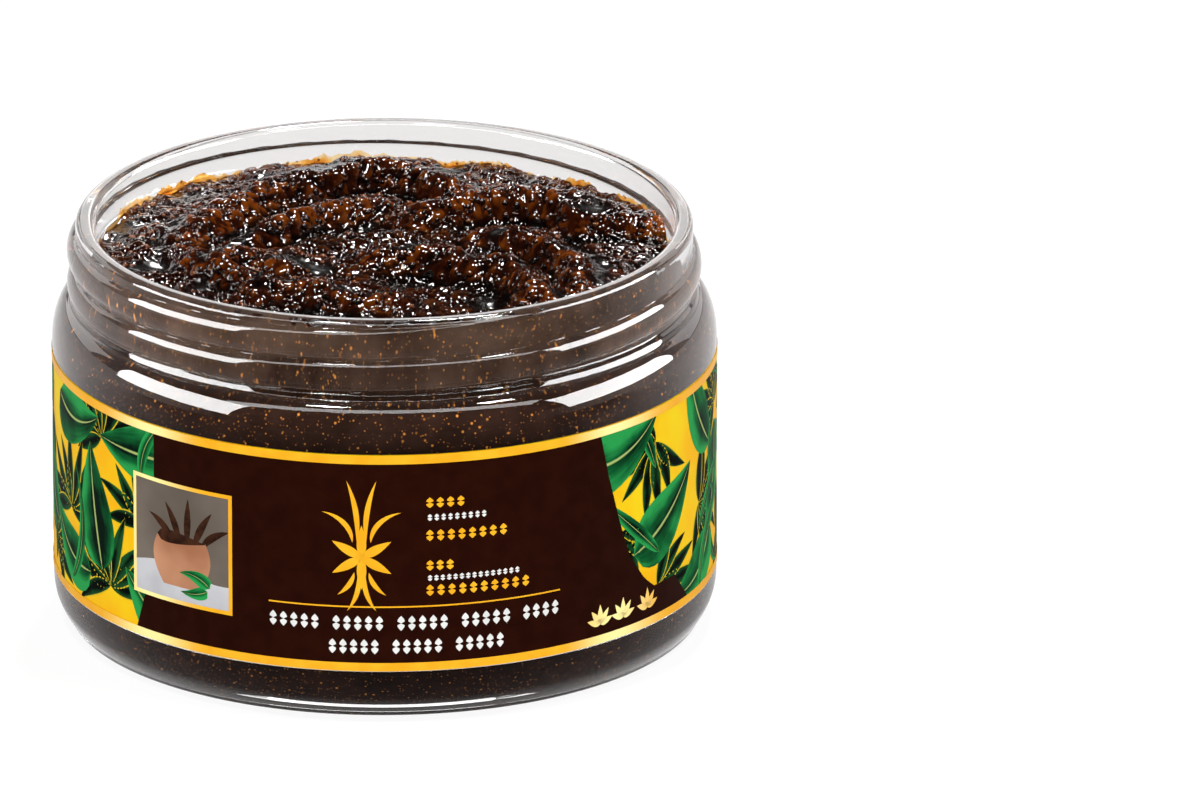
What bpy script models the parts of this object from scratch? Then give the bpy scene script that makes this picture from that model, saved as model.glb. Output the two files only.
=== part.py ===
"""An open clear jar of vanilla paste with a wrap-round label.

Lengths below are in millimetres and become metres in the meshes. +Z is up, the jar's axis is
the Z axis, and the origin is the middle of the foot that it stands on. The jar's front, the
middle of the label, faces -Y.
"""

import math

import bmesh
import bpy
from mathutils import Vector, noise

MM = 0.001

# Driving sizes of the jar
JAR_HEIGHT = 45.3
BODY_RADIUS = 36.25
NECK_RADIUS = 33.65
WALL = 1.5
NECK_WALL = 2.0
FLOOR = 2.0

# The neck, shoulder and rim, as depths below the rim
RIM_ROUND = 0.8
COLLAR_DEPTH = 8.3
COLLAR_RADIUS = 34.2
SHOULDER_TOP_DEPTH = 8.9
SHOULDER_FOOT_DEPTH = 13.4

# The heel and the foot ring under it
HEEL_INSET = 3.65
HEEL_HEIGHT = 5.0
FOOT_WIDTH = 3.0
FOOT_SLOPE = 1.0
UNDERSIDE_RECESS = 0.7

# The screw thread: a broad right-hand ridge that starts near the front and runs down and round.
# Its start is half a facet off the edges of the neck.
THREAD_START_DEPTH = 2.1
THREAD_START_FACET = -10.5
THREAD_PITCH = 3.7
THREAD_TURNS = 1.625
THREAD_HEIGHT = 0.95
THREAD_FOOT_WIDTH = 3.3
THREAD_SIDE_WIDTH = 2.4
THREAD_SIDE_SHARE = 0.72
THREAD_CREST_WIDTH = 1.0
THREAD_BITE = 0.4
THREAD_FADE_ANGLE = 35.0

# The label, in a shallow panel round the body
LABEL_BOTTOM = 6.2
LABEL_TOP = 31.0
PANEL_RECESS = 0.3
PANEL_MARGIN = 0.3
LABEL_THICKNESS = 0.2
LABEL_GAP = 0.2
LABEL_OPENING_ANGLE = 4.0

# Faces that meet at less than these angles are shaded as one smooth surface
SMOOTH_PLASTIC = 35.0
SMOOTH_PASTE = 60.0

# The paste: its level in the middle, how much higher it stands at the wall, and its relief
PASTE_LEVEL = 39.3
PASTE_CLIMB = 0.9
PASTE_CEILING = 41.05
PASTE_SOFTNESS = 0.22
PASTE_CLEARANCE = 0.3
FOLD_FACE_WIDTH = 1.6
FOLD_BACK_WIDTH = 3.6
FOLD_TROUGH_OFFSET = 3.0
FOLD_TROUGH_WIDTH = 1.9
FOLD_TROUGH_SHARE = 0.5
FOLD_FADE_ANGLE = 22.0
LUMP_SIZE = 5.5
LUMP_HEIGHT = 0.42
LUMP_LAYER = 11.0
CRAG_SIZE = 3.0
CRAG_HEIGHT = 0.26
CRAG_LAYER = 23.0

# How far the folds sway from their arcs, over what length, and where the second sway is read
SWAY = 1.6
SWAY_SIZE = 9.0
SWAY_OFFSET = Vector((7.3, 1.9, 4.1))

# Each fold is an arc seen from above: centre x and y, radius, first and last angle, height
FOLDS = (
    (12.0, -6.0, 35.5, 113, 161, 1.35),
    (8.0, -8.0, 27.0, 108, 152, 1.15),
    (12.7, 8.8, 8.3, 5, 155, 1.7),
    (5.0, -8.0, 16.5, -5, 72, 1.35),
    (3.3, -13.0, 12.5, -8, 112, 1.55),
    (24.0, -10.0, 21.0, 68, 108, 1.1),
    (-14.0, -4.0, 3.8, 10, 205, 1.0),
    (-8.0, -25.0, 13.0, 48, 125, 1.25),
    (-1.0, 17.0, 9.0, 25, 150, 1.3),
    (-27.0, -14.0, 14.0, 5, 70, 1.0),
)

# Above this the exponential of the ceiling is past any use
STEEPEST = 40.0

# How finely the round shapes are cut
ROUND_STEPS = 64
ARC_STEPS = 4
HEEL_STEPS = 5
INNER_STEPS = 3
PASTE_GRID = 40


def remove_start_objects():
    for thing in list(bpy.data.objects):
        bpy.data.objects.remove(thing, do_unlink=True)


def arc(centre_r, centre_z, radius_r, radius_z, first, last, steps=ARC_STEPS):
    """Points of an elliptical arc in the half plane of the profile, angles in degrees."""
    points = []
    for step in range(steps + 1):
        angle = math.radians(first + (last - first) * step / steps)
        points.append((centre_r + radius_r * math.cos(angle), centre_z + radius_z * math.sin(angle)))
    return points


def outer_profile():
    """Outside of the jar, from the middle of its underside up to the top of the rim."""
    foot_outer = BODY_RADIUS - HEEL_INSET
    foot_inner = foot_outer - FOOT_WIDTH
    panel_radius = BODY_RADIUS - PANEL_RECESS
    panel_low = LABEL_BOTTOM - PANEL_MARGIN
    panel_high = LABEL_TOP + PANEL_MARGIN
    shoulder_foot = JAR_HEIGHT - SHOULDER_FOOT_DEPTH
    shoulder_top = JAR_HEIGHT - SHOULDER_TOP_DEPTH
    rim_radius = NECK_RADIUS - RIM_ROUND
    return [
        (0.0, UNDERSIDE_RECESS),
        (foot_inner - FOOT_SLOPE, UNDERSIDE_RECESS),
        (foot_inner, 0.0),
        *arc(foot_outer, HEEL_HEIGHT, HEEL_INSET, HEEL_HEIGHT, -90, 0, HEEL_STEPS),
        (BODY_RADIUS, panel_low - PANEL_RECESS),
        (panel_radius, panel_low),
        (panel_radius, panel_high),
        (BODY_RADIUS, panel_high + PANEL_RECESS),
        *arc(COLLAR_RADIUS, shoulder_foot, BODY_RADIUS - COLLAR_RADIUS,
             shoulder_top - shoulder_foot, 0, 80),
        (COLLAR_RADIUS, JAR_HEIGHT - COLLAR_DEPTH),
        (NECK_RADIUS, JAR_HEIGHT - COLLAR_DEPTH + COLLAR_RADIUS - NECK_RADIUS),
        *arc(rim_radius, JAR_HEIGHT - RIM_ROUND, RIM_ROUND, RIM_ROUND, 0, 90),
    ]


def inner_profile(inset=0.0):
    """Inside of the jar, from the top of the rim down to the middle of its floor.

    With an inset it is the outline of what fills the jar, that much clear of the wall.
    """
    neck_radius = NECK_RADIUS - NECK_WALL
    body_radius = BODY_RADIUS - WALL
    shoulder_foot = JAR_HEIGHT - SHOULDER_FOOT_DEPTH
    shoulder_top = JAR_HEIGHT - SHOULDER_TOP_DEPTH - NECK_WALL / 2
    heel_inset = HEEL_INSET - WALL / 2
    heel_top = HEEL_HEIGHT + WALL / 2
    rim = arc(neck_radius + RIM_ROUND, JAR_HEIGHT - RIM_ROUND, RIM_ROUND, RIM_ROUND, 90, 180)
    shoulder = [
        (neck_radius - inset, shoulder_top),
        *arc(neck_radius - inset, shoulder_foot, body_radius - neck_radius,
             shoulder_top - shoulder_foot, 65, 0, INNER_STEPS),
    ]
    heel = [
        *arc(body_radius - heel_inset - inset, heel_top + inset, heel_inset, heel_top - FLOOR,
             0, -90, INNER_STEPS),
        (0.0, FLOOR + inset),
    ]
    return shoulder + heel if inset else rim + shoulder + heel


def new_object(name, shape, colour, roughness, alpha=1.0):
    """An object with its own material from a shape in millimetres, which it uses up."""
    mesh = bpy.data.meshes.new(name)
    bmesh.ops.scale(shape, vec=(MM, MM, MM), verts=shape.verts)
    shape.to_mesh(mesh)
    shape.free()
    thing = bpy.data.objects.new(name, mesh)
    bpy.context.scene.collection.objects.link(thing)
    material = bpy.data.materials.new(name)
    material.use_nodes = True
    shader = material.node_tree.nodes["Principled BSDF"]
    shader.inputs["Base Color"].default_value = (*colour, 1.0)
    shader.inputs["Roughness"].default_value = roughness
    shader.inputs["Metallic"].default_value = 0.0
    shader.inputs["Alpha"].default_value = alpha
    mesh.materials.append(material)
    return thing


def shade(thing, sharp_angle):
    thing.data.shade_smooth()
    thing.data.set_sharp_from_angle(angle=math.radians(sharp_angle))


def turned(profile):
    """A shape turned once about Z from a profile of (radius, height) points."""
    shape = bmesh.new()
    verts = [shape.verts.new((r, 0.0, z)) for r, z in profile]
    edges = [shape.edges.new(pair) for pair in zip(verts, verts[1:])]
    bmesh.ops.spin(shape, geom=verts + edges, cent=(0, 0, 0), axis=(0, 0, 1), dvec=(0, 0, 0),
                   angle=math.radians(360.0), steps=ROUND_STEPS, use_merge=True)
    bmesh.ops.remove_doubles(shape, verts=shape.verts, dist=0.001)
    return shape


def thread_ridge():
    """The screw thread as one closed ridge whose foot bites into the neck."""
    shape = bmesh.new()
    steps = round(ROUND_STEPS * THREAD_TURNS)
    sweep = 360.0 * THREAD_TURNS
    start = 360.0 * THREAD_START_FACET / ROUND_STEPS
    rings = []
    for step in range(steps + 1):
        turned_by = sweep * step / steps
        angle = math.radians(start - turned_by)
        height = JAR_HEIGHT - THREAD_START_DEPTH - THREAD_PITCH * turned_by / 360.0
        fade = min(1.0, turned_by / THREAD_FADE_ANGLE, (sweep - turned_by) / THREAD_FADE_ANGLE)
        lift = THREAD_HEIGHT * (0.02 + 0.98 * math.sin(fade * math.pi / 2))
        section = (
            (NECK_RADIUS - THREAD_BITE, -THREAD_FOOT_WIDTH / 2),
            (NECK_RADIUS + lift * THREAD_SIDE_SHARE, -THREAD_SIDE_WIDTH / 2),
            (NECK_RADIUS + lift, -THREAD_CREST_WIDTH / 2),
            (NECK_RADIUS + lift, THREAD_CREST_WIDTH / 2),
            (NECK_RADIUS + lift * THREAD_SIDE_SHARE, THREAD_SIDE_WIDTH / 2),
            (NECK_RADIUS - THREAD_BITE, THREAD_FOOT_WIDTH / 2),
        )
        rings.append([shape.verts.new((r * math.cos(angle), r * math.sin(angle), height + rise))
                      for r, rise in section])
    for ring, after in zip(rings, rings[1:]):
        for corner in range(len(ring)):
            other = (corner + 1) % len(ring)
            shape.faces.new((ring[corner], ring[other], after[other], after[corner]))
    shape.faces.new(rings[0])
    shape.faces.new(list(reversed(rings[-1])))
    bmesh.ops.recalc_face_normals(shape, faces=shape.faces)
    return shape


def build_jar():
    shape = turned(outer_profile() + inner_profile())
    bmesh.ops.recalc_face_normals(shape, faces=shape.faces)
    jar = new_object("jar", shape, (0.90, 0.90, 0.91), 0.05, alpha=0.3)
    ridge = new_object("thread_cutout", thread_ridge(), (0.90, 0.90, 0.91), 0.05)
    join = jar.modifiers.new("thread", "BOOLEAN")
    join.operation = "UNION"
    join.solver = "EXACT"
    join.object = ridge
    graph = bpy.context.evaluated_depsgraph_get()
    whole = bpy.data.meshes.new_from_object(jar.evaluated_get(graph))
    jar.modifiers.clear()
    jar.data = whole
    bpy.data.objects.remove(ridge, do_unlink=True)
    shade(jar, SMOOTH_PLASTIC)


def build_label():
    """A strip wrapped round the body; its ends stop a little short of each other at the back."""
    inner = BODY_RADIUS - PANEL_RECESS + LABEL_GAP
    outer = inner + LABEL_THICKNESS
    shape = bmesh.new()
    steps = ROUND_STEPS
    sweep = 360.0 - LABEL_OPENING_ANGLE
    rings = []
    for step in range(steps + 1):
        angle = math.radians(90.0 + LABEL_OPENING_ANGLE / 2 + sweep * step / steps)
        section = ((inner, LABEL_BOTTOM), (outer, LABEL_BOTTOM), (outer, LABEL_TOP), (inner, LABEL_TOP))
        rings.append([shape.verts.new((r * math.cos(angle), r * math.sin(angle), z))
                      for r, z in section])
    for ring, after in zip(rings, rings[1:]):
        for corner in range(4):
            other = (corner + 1) % 4
            shape.faces.new((ring[corner], after[corner], after[other], ring[other]))
    shape.faces.new(list(reversed(rings[0])))
    shape.faces.new(rings[-1])
    bmesh.ops.recalc_face_normals(shape, faces=shape.faces)
    shade(new_object("label", shape, (0.035, 0.010, 0.006), 0.45), SMOOTH_PLASTIC)


def fold_height(x, y, fold):
    """Height of one fold: steep on its inner side, gentle behind, with a trough at its foot."""
    centre_x, centre_y, radius, first, last, height = fold
    away = math.hypot(x - centre_x, y - centre_y) - radius
    middle = (first + last) / 2
    angle = math.degrees(math.atan2(y - centre_y, x - centre_x))
    turned_by = abs((angle - middle + 180.0) % 360.0 - 180.0)
    share = ((last - first) / 2 - turned_by) / FOLD_FADE_ANGLE
    share = min(1.0, max(0.0, share + 0.5))
    share = share * share * (3.0 - 2.0 * share)
    if away < 0:
        crest = math.exp(-((away / FOLD_FACE_WIDTH) ** 2))
    else:
        crest = math.exp(-((away / FOLD_BACK_WIDTH) ** 2))
    trough = math.exp(-(((away + FOLD_TROUGH_OFFSET) / FOLD_TROUGH_WIDTH) ** 2))
    return share * height * (crest - FOLD_TROUGH_SHARE * trough)


def paste_height(x, y, fill_radius):
    """Top of the paste above the foot: a level, the climb to the wall, folds, lumps and crags."""
    sway_place = Vector((x, y, 0.0)) / SWAY_SIZE
    bent_x = x + SWAY * noise.noise(sway_place)
    bent_y = y + SWAY * noise.noise(sway_place + SWAY_OFFSET)
    climb = PASTE_CLIMB * (math.hypot(x, y) / fill_radius) ** 4
    folds = sum(fold_height(bent_x, bent_y, fold) for fold in FOLDS)
    lumps = LUMP_HEIGHT * noise.noise(Vector((x, y, LUMP_LAYER)) / LUMP_SIZE)
    crags = CRAG_HEIGHT * (1.0 - 2.0 * abs(noise.noise(Vector((x, y, CRAG_LAYER)) / CRAG_SIZE)))
    height = PASTE_LEVEL + climb + folds + lumps + crags
    below = (PASTE_CEILING - height) / PASTE_SOFTNESS
    return PASTE_CEILING - PASTE_SOFTNESS * math.log1p(math.exp(min(below, STEEPEST)))


def build_paste():
    """Paste that fills the jar: a square grid pressed into a disc on top, then sides and a flat base."""
    outline = inner_profile(inset=PASTE_CLEARANCE)
    fill_radius = outline[0][0]
    shape = bmesh.new()
    bmesh.ops.create_grid(shape, x_segments=PASTE_GRID, y_segments=PASTE_GRID, size=1.0)
    for vert in shape.verts:
        across, along = vert.co.x, vert.co.y
        x = fill_radius * across * math.sqrt(1.0 - along * along / 2.0)
        y = fill_radius * along * math.sqrt(1.0 - across * across / 2.0)
        vert.co = (x, y, paste_height(x, y, fill_radius))
    rim_edges = [edge for edge in shape.edges if edge.is_boundary]
    for radius, height in outline[:-1]:
        made = bmesh.ops.extrude_edge_only(shape, edges=rim_edges)["geom"]
        for vert in (part for part in made if isinstance(part, bmesh.types.BMVert)):
            angle = math.atan2(vert.co.y, vert.co.x)
            vert.co = (radius * math.cos(angle), radius * math.sin(angle), height)
        rim_edges = [part for part in made if isinstance(part, bmesh.types.BMEdge)]
    bmesh.ops.contextual_create(shape, geom=rim_edges)
    bmesh.ops.triangulate(shape, faces=shape.faces)
    bmesh.ops.recalc_face_normals(shape, faces=shape.faces)
    shade(new_object("paste", shape, (0.050, 0.014, 0.006), 0.2), SMOOTH_PASTE)


def main():
    remove_start_objects()
    build_jar()
    build_label()
    build_paste()


main()
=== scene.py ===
import math
import random

import bpy
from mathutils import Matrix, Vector, noise


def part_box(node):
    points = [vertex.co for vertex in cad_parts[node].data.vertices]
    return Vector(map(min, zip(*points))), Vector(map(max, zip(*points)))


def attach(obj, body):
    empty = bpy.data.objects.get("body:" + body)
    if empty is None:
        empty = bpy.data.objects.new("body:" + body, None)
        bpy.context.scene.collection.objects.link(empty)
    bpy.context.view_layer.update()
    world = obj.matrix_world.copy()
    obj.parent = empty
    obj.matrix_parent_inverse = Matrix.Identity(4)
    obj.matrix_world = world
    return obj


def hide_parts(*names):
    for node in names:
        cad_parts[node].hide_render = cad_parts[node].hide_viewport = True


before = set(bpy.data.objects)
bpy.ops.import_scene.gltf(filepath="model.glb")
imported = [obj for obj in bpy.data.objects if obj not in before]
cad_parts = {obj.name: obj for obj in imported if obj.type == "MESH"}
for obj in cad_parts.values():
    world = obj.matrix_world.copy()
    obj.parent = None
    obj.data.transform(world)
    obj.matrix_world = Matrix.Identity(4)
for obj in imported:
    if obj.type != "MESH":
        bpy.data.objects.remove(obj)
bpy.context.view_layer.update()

mm = 0.001
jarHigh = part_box("jar")[1]
labelLow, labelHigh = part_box("label")
bodyRadius = jarHigh.x / mm  # lengths below are in millimetres until a mesh is made
rimHeight = jarHigh.z / mm


# Shader helpers

class Link:  # a socket that can stand in a sum
    def __init__(self, finish, socket):
        self.finish = finish
        self.socket = socket

    def __add__(self, other):
        return self.finish.math("ADD", self, other)

    __radd__ = __add__

    def __sub__(self, other):
        return self.finish.math("SUBTRACT", self, other)

    def __rsub__(self, other):
        return self.finish.math("SUBTRACT", other, self)

    def __mul__(self, other):
        return self.finish.math("MULTIPLY", self, other)

    __rmul__ = __mul__

    def __pow__(self, other):
        return self.finish.math("POWER", self, other)


class Finish:  # one material and the calls that add its nodes
    def __init__(self, name):
        self.material = bpy.data.materials.new(name)
        self.material.use_nodes = True
        self.tree = self.material.node_tree
        self.shader = self.tree.nodes["Principled BSDF"]

    def node(self, kind, settings=None, inputs=None, output=0):
        made = self.tree.nodes.new(kind)
        for name, value in (settings or {}).items():
            if name == "stops":
                self.setStops(made.color_ramp, value)
            else:
                setattr(made, name, value)
        for name, value in (inputs or {}).items():
            self.feed(made.inputs[name], value)
        return Link(self, made.outputs[output])

    def feed(self, socket, value):
        if isinstance(value, Link):
            self.tree.links.new(value.socket, socket)
        else:
            socket.default_value = value

    def setStops(self, ramp, stops):
        while len(ramp.elements) < len(stops):
            ramp.elements.new(1.0)
        for element, (place, colour) in zip(ramp.elements, stops):
            element.position = place
            element.color = (*colour, 1.0)

    def set(self, **values):
        for name, value in values.items():
            self.feed(self.shader.inputs[name.replace("_", " ")], value)
        return self

    def math(self, operation, *values):
        return self.node("ShaderNodeMath", {"operation": operation}, dict(enumerate(values)))

    def place(self):
        return self.node("ShaderNodeTexCoord", output="Object")

    def attribute(self, name):
        return self.node("ShaderNodeAttribute", {"attribute_name": name}, output="Fac")

    def noise(self, vector, scale, detail=3.0, roughness=0.5):
        sockets = {"Vector": vector, "Scale": scale, "Detail": detail, "Roughness": roughness}
        return self.node("ShaderNodeTexNoise", None, sockets)

    def cells(self, vector, scale, output="Distance"):
        return self.node("ShaderNodeTexVoronoi", None, {"Vector": vector, "Scale": scale}, output)

    def part(self, vector, axis):  # one number of a vector: 0, 1 or 2
        return self.node("ShaderNodeSeparateXYZ", None, {0: vector}, axis)

    def fromAxis(self, place):  # how far a place is from the jar's axis
        flat = self.node("ShaderNodeVectorMath", {"operation": "MULTIPLY"}, {0: place, 1: (1.0, 1.0, 0.0)})
        return self.node("ShaderNodeVectorMath", {"operation": "LENGTH"}, {0: flat}, "Value")

    def step(self, value, low, high):  # 0 below low, 1 above high, smooth between
        settings = {"interpolation_type": "SMOOTHSTEP"}
        return self.node("ShaderNodeMapRange", settings, {0: value, 1: low, 2: high, 3: 0.0, 4: 1.0})

    def ramp(self, value, *stops):
        return self.node("ShaderNodeValToRGB", {"stops": stops}, {"Fac": value})

    def mix(self, share, low, high):
        low = (*low, 1.0) if isinstance(low, tuple) else low
        high = (*high, 1.0) if isinstance(high, tuple) else high
        return self.node("ShaderNodeMix", {"data_type": "RGBA"}, {0: share, 6: low, 7: high}, 2)

    def bump(self, height, depth, strength):
        sockets = {"Height": height, "Distance": depth * mm, "Strength": strength}
        return self.node("ShaderNodeBump", None, sockets)


# Modelling helpers

def deselectAll():
    if bpy.context.object and bpy.context.object.mode != "OBJECT":
        bpy.ops.object.mode_set(mode="OBJECT")
    bpy.ops.object.select_all(action="DESELECT")


def activate(piece):
    deselectAll()
    piece.select_set(True)
    bpy.context.view_layer.objects.active = piece


def edit(piece):
    activate(piece)
    bpy.ops.object.mode_set(mode="EDIT")
    bpy.ops.mesh.select_all(action="SELECT")


def closeMesh(gap=0.0005):
    bpy.ops.mesh.select_all(action="SELECT")
    bpy.ops.mesh.remove_doubles(threshold=gap * mm)
    bpy.ops.mesh.normals_make_consistent(inside=False)
    bpy.ops.object.mode_set(mode="OBJECT")


def settle(piece, name, finish):
    activate(piece)
    bpy.ops.object.transform_apply(location=True, rotation=True, scale=True)
    piece.name = name
    piece.data.name = name
    piece.data.materials.clear()
    piece.data.materials.append(finish.material)
    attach(piece, "root")


def arc(centreR, centreZ, radiusR, radiusZ, first, last, steps):
    points = []
    for step in range(steps + 1):
        angle = math.radians(first + (last - first) * step / steps)
        points.append((centreR + radiusR * math.cos(angle), centreZ + radiusZ * math.sin(angle)))
    return points


def straight(start, end, steps):  # points between two others, without the two
    return [(start[0] + (end[0] - start[0]) * step / steps, start[1] + (end[1] - start[1]) * step / steps)
            for step in range(1, steps)]


def joinAll(parts):
    deselectAll()
    for part in parts:
        part.select_set(True)
    bpy.context.view_layer.objects.active = parts[0]
    bpy.ops.object.join()
    return parts[0]


def lathe(points, steps):  # a point is drawn out along the profile, and the profile spun about Z
    deselectAll()
    bpy.ops.mesh.primitive_plane_add(size=mm, location=(points[0][0] * mm, 0, points[0][1] * mm))
    piece = bpy.context.object
    edit(piece)
    bpy.ops.mesh.merge(type="CENTER")
    for (r, z), (nextR, nextZ) in zip(points, points[1:]):
        move = {"value": ((nextR - r) * mm, 0, (nextZ - z) * mm)}
        bpy.ops.mesh.extrude_region_move(TRANSFORM_OT_translate=move)
    bpy.ops.mesh.select_all(action="SELECT")
    bpy.ops.mesh.spin(steps=steps, angle=math.tau, center=(0, 0, 0), axis=(0, 0, 1))
    closeMesh()
    bpy.ops.object.transform_apply(location=True, rotation=True, scale=True)
    return piece


# The jar

jarShape = {
    "neckRadius": 33.65,
    "neckWall": 2.0,
    "wall": 1.5,
    "floor": 2.0,
    "rimRound": 0.8,
    "collarDepth": 8.3,
    "collarRadius": 34.2,
    "shoulderTop": 8.9,
    "shoulderFoot": 13.4,
    "heelInset": 3.65,
    "heelHeight": 5.0,
    "innerHeelWidth": 6.5,
    "innerHeelTop": 7.0,
    "beadAngle": -58.0,  # of the fine bead round the heel, on the heel's own arc
    "beadWidth": 3.5,
    "beadShare": 0.05,
    "footWidth": 3.0,
    "recess": 0.7,
    "panelRecess": 0.3,
    "panelGap": 0.06,  # from the label's edges to the panel's
    "panelEdge": ((0.0, 0.12), (0.0, 0.04), (0.03, 0.01), (0.25, 0.005)),  # depth, and how far from the edge
    "turnSteps": 384,
    "neckRows": 80,
    "veil": 0.12,
}

threadShape = {
    "startDepth": 2.1,
    "startAngle": -59.0,
    "pitch": 3.7,
    "turns": 1.625,
    "height": 0.93,
    "halfWidth": 1.65,
    "roundness": 0.45,
    "fadeAngle": 40.0,
    "reach": 0.45,  # how far into the rim's round the thread goes
}


def heelArc():
    s = jarShape
    points = []
    for step in range(61):
        angle = -90.0 + 1.5 * step
        swell = 1.0 + s["beadShare"] * math.exp(-(((angle - s["beadAngle"]) / s["beadWidth"]) ** 2))
        turn = math.radians(angle)
        points.append((bodyRadius - s["heelInset"] + s["heelInset"] * swell * math.cos(turn),
                       s["heelHeight"] * (1.0 + swell * math.sin(turn))))
    return [(r, max(0.0, z)) for r, z in points]


def panelEdge(height, side):  # close points keep the edge crisp
    return [(bodyRadius - depth, height + side * away) for depth, away in jarShape["panelEdge"]]


def jarProfile():
    s = jarShape
    footOuter = bodyRadius - s["heelInset"]
    footInner = footOuter - s["footWidth"]
    panel = bodyRadius - s["panelRecess"]
    panelLow = labelLow.z / mm - s["panelGap"]
    panelHigh = labelHigh.z / mm + s["panelGap"]
    shoulderFoot = rimHeight - s["shoulderFoot"]
    shoulderTop = rimHeight - s["shoulderTop"]
    collar = s["collarRadius"]
    collarFoot = (collar, rimHeight - s["collarDepth"])
    neckFoot = (s["neckRadius"], rimHeight - s["collarDepth"] + 0.5)
    neckTop = (s["neckRadius"], rimHeight - s["rimRound"])
    inner = s["neckRadius"] - s["neckWall"]
    innerBody = bodyRadius - s["wall"]
    innerTop = shoulderTop - s["neckWall"] / 2
    heelIn = s["innerHeelWidth"]
    heelTop = s["innerHeelTop"]
    outside = [
        (0.0, s["recess"]), (footInner - 3.0, s["recess"]), (footInner - 1.0, s["recess"] * 0.85),
        (footInner - 0.3, 0.12), (footInner, 0.0),
        *heelArc(), *panelEdge(panelLow, -1),
        (panel, panelLow), *straight((panel, panelLow), (panel, panelHigh), 12), (panel, panelHigh),
        *reversed(panelEdge(panelHigh, 1)),
        *arc(collar, shoulderFoot, bodyRadius - collar, shoulderTop - shoulderFoot, 0, 84, 22),
        (collar, shoulderTop + 0.12), collarFoot, *straight(collarFoot, neckFoot, 4), neckFoot,
        *straight(neckFoot, neckTop, s["neckRows"]),
        *arc(s["neckRadius"] - s["rimRound"], neckTop[1], s["rimRound"], s["rimRound"], 0, 90, 12),
    ]
    inside = [
        *arc(inner + s["rimRound"], neckTop[1], s["rimRound"], s["rimRound"], 90, 180, 12),
        *straight((inner, neckTop[1]), (inner, innerTop), 10), (inner, innerTop),
        *arc(inner, shoulderFoot, innerBody - inner, innerTop - shoulderFoot, 72, 0, 14),
        *arc(innerBody - heelIn, heelTop, heelIn, heelTop - s["floor"], 0, -90, 12),
        (0.0, s["floor"]),
    ]
    return outside + inside


def threadRise(angle, depth):  # how far the screw thread stands off the neck
    t = threadShape
    sweep = 360.0 * t["turns"]
    rise = 0.0
    turned = (t["startAngle"] - angle) % 360.0
    while turned < sweep:
        centre = t["startDepth"] + t["pitch"] * turned / 360.0
        across = abs(depth - centre) / t["halfWidth"]
        fade = min(1.0, turned / t["fadeAngle"], (sweep - turned) / t["fadeAngle"])
        fade = fade * fade * (3.0 - 2.0 * fade)
        if across < 1.0:
            rise = max(rise, t["height"] * fade * math.cos(across * math.pi / 2) ** t["roundness"])
        turned += 360.0
    return rise


def makeJar():
    piece = lathe(jarProfile(), jarShape["turnSteps"])
    neck = jarShape["neckRadius"]
    low = rimHeight - jarShape["collarDepth"] - 0.02
    for vertex in piece.data.vertices:
        x, y, z = vertex.co / mm
        radius = math.hypot(x, y)
        if radius < neck - threadShape["reach"] or z < low:
            continue
        rise = threadRise(math.degrees(math.atan2(y, x)), rimHeight - z)
        wanted = max(radius, neck + rise)
        if rise > 0 and wanted > radius:
            vertex.co.x *= wanted / radius
            vertex.co.y *= wanted / radius
    activate(piece)
    bpy.ops.object.shade_smooth_by_angle(angle=math.radians(60))
    return piece


def clearPlastic():
    f = Finish("clear moulded plastic")
    ripple = f.noise(f.place(), 90.0, 2.0)
    f.set(Base_Color=(0.83, 0.815, 0.81, 1.0), Roughness=0.01 + ripple * 0.02, IOR=1.5,
          Transmission_Weight=1.0, Normal=f.bump(ripple, 0.02, 0.5))
    # a pale veil where the wall is seen edge on
    veil = f.node("ShaderNodeBsdfDiffuse", None, {"Color": (0.80, 0.78, 0.79, 1.0)})
    edge = f.node("ShaderNodeLayerWeight", None, {"Blend": 0.5}, 1)
    share = (edge ** 3.0) * jarShape["veil"]
    mixed = f.node("ShaderNodeMixShader", None, {0: share, 1: Link(f, f.shader.outputs[0]), 2: veil})
    f.feed(f.tree.nodes["Material Output"].inputs["Surface"], mixed)
    return f


# The paste

pasteShape = {
    "level": 39.3,
    "climb": 0.9,
    "ceiling": 42.3,
    "softness": 0.3,
    "intoWall": 0.12,
    "foldShare": 1.45,
    "wetOffset": 2.6,  # from a fold's crest to the middle of its smooth wet back
    "wetWidth": 1.4,
    "foldFace": 1.6,
    "foldBack": 3.6,
    "troughOffset": 3.0,
    "troughWidth": 1.9,
    "troughShare": 0.5,
    "foldFade": 22.0,
    "sway": (9.0, 1.6),  # size of the folds' bends, and how far they go
    "bumps": (5.5, 0.42),  # size and height
    "crags": (3.0, 0.34),
    "cells": 300,
    "rimGap": 0.06,  # from the surface's edge to the body's
    "skirt": 2.0,
    "smearTop": 44.2,
    "smearStart": 0.02,  # shares of the radius
    "smearRun": 0.42,
    "smearRagged": ((3.0, 0.13), (0.8, 0.05)),
    "smearDrop": 3.0,
    "lumps": ((1.35, 0.44), (0.8, 0.30), (0.45, 0.12)),  # size of the cells, and how far they stand out
}

grainShape = {
    "seed": 11,
    "tries": 7500,
    "amberShare": 0.25,
    "radius": (0.24, 0.5),
    "sink": 0.4,
    "reach": 31.1,
}

# Each fold is an arc seen from above: centre x and y, radius, first and last angle, height
folds = (
    (12.0, -6.0, 35.5, 113, 161, 1.35),
    (8.0, -8.0, 27.0, 108, 152, 1.15),
    (12.7, 8.8, 8.3, 5, 155, 1.7),
    (5.0, -8.0, 16.5, -5, 72, 1.35),
    (3.3, -13.0, 12.5, -8, 112, 1.55),
    (24.0, -10.0, 21.0, 68, 108, 1.1),
    (-14.0, -4.0, 3.8, 10, 205, 1.0),
    (-8.0, -25.0, 13.0, 48, 125, 1.25),
    (-1.0, 17.0, 9.0, 25, 150, 1.3),
    (-27.0, -14.0, 14.0, 5, 70, 1.0),
)


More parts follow.
